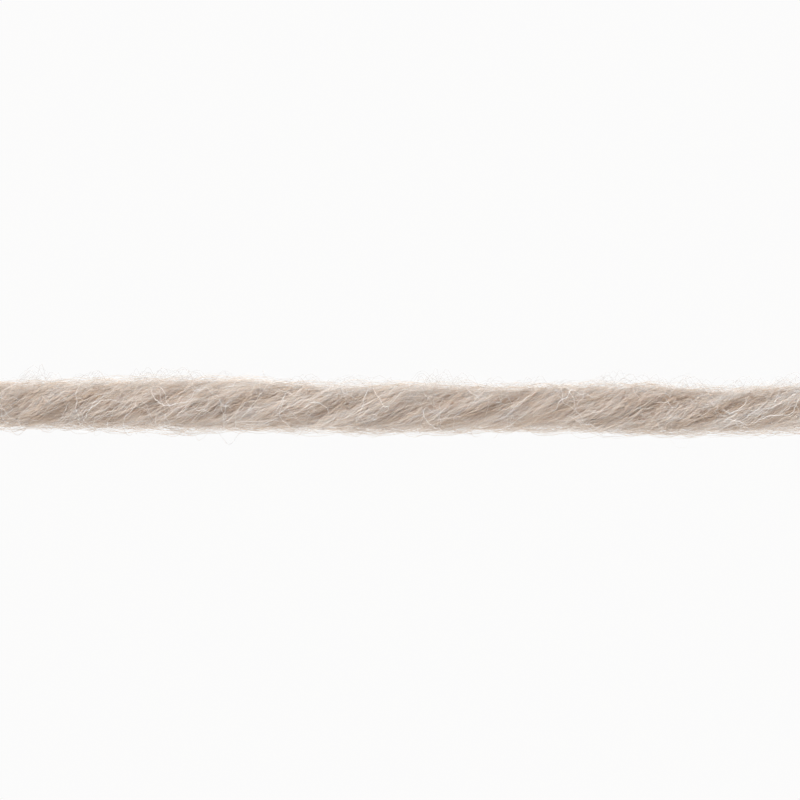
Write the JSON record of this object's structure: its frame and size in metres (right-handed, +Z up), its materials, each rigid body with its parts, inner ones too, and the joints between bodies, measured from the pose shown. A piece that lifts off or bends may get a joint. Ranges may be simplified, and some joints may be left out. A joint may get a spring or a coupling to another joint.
{
  "type": "merino wool yarn",
  "caption": "Cut length of soft plied merino wool yarn in undyed oatmeal, S-twisted, slightly thick and thin, lying almost straight with cut ends.",
  "frame": {"origin": "middle of the yarn's length, at its base on the surface it lies on", "axes": "+X along the yarn, +Y across it, +Z up from the surface"},
  "size_m": [0.09, 0.0053, 0.0048],
  "materials": {
    "wool": "matt soft wool, undyed oatmeal beige, with a fine pale nap of loose fibres"
  },
  "bodies": {
    "root": {"ply_1": "wool", "ply_2": "wool", "ply_3": "wool", "ply_4": "wool"}
  },
  "joints": []
}
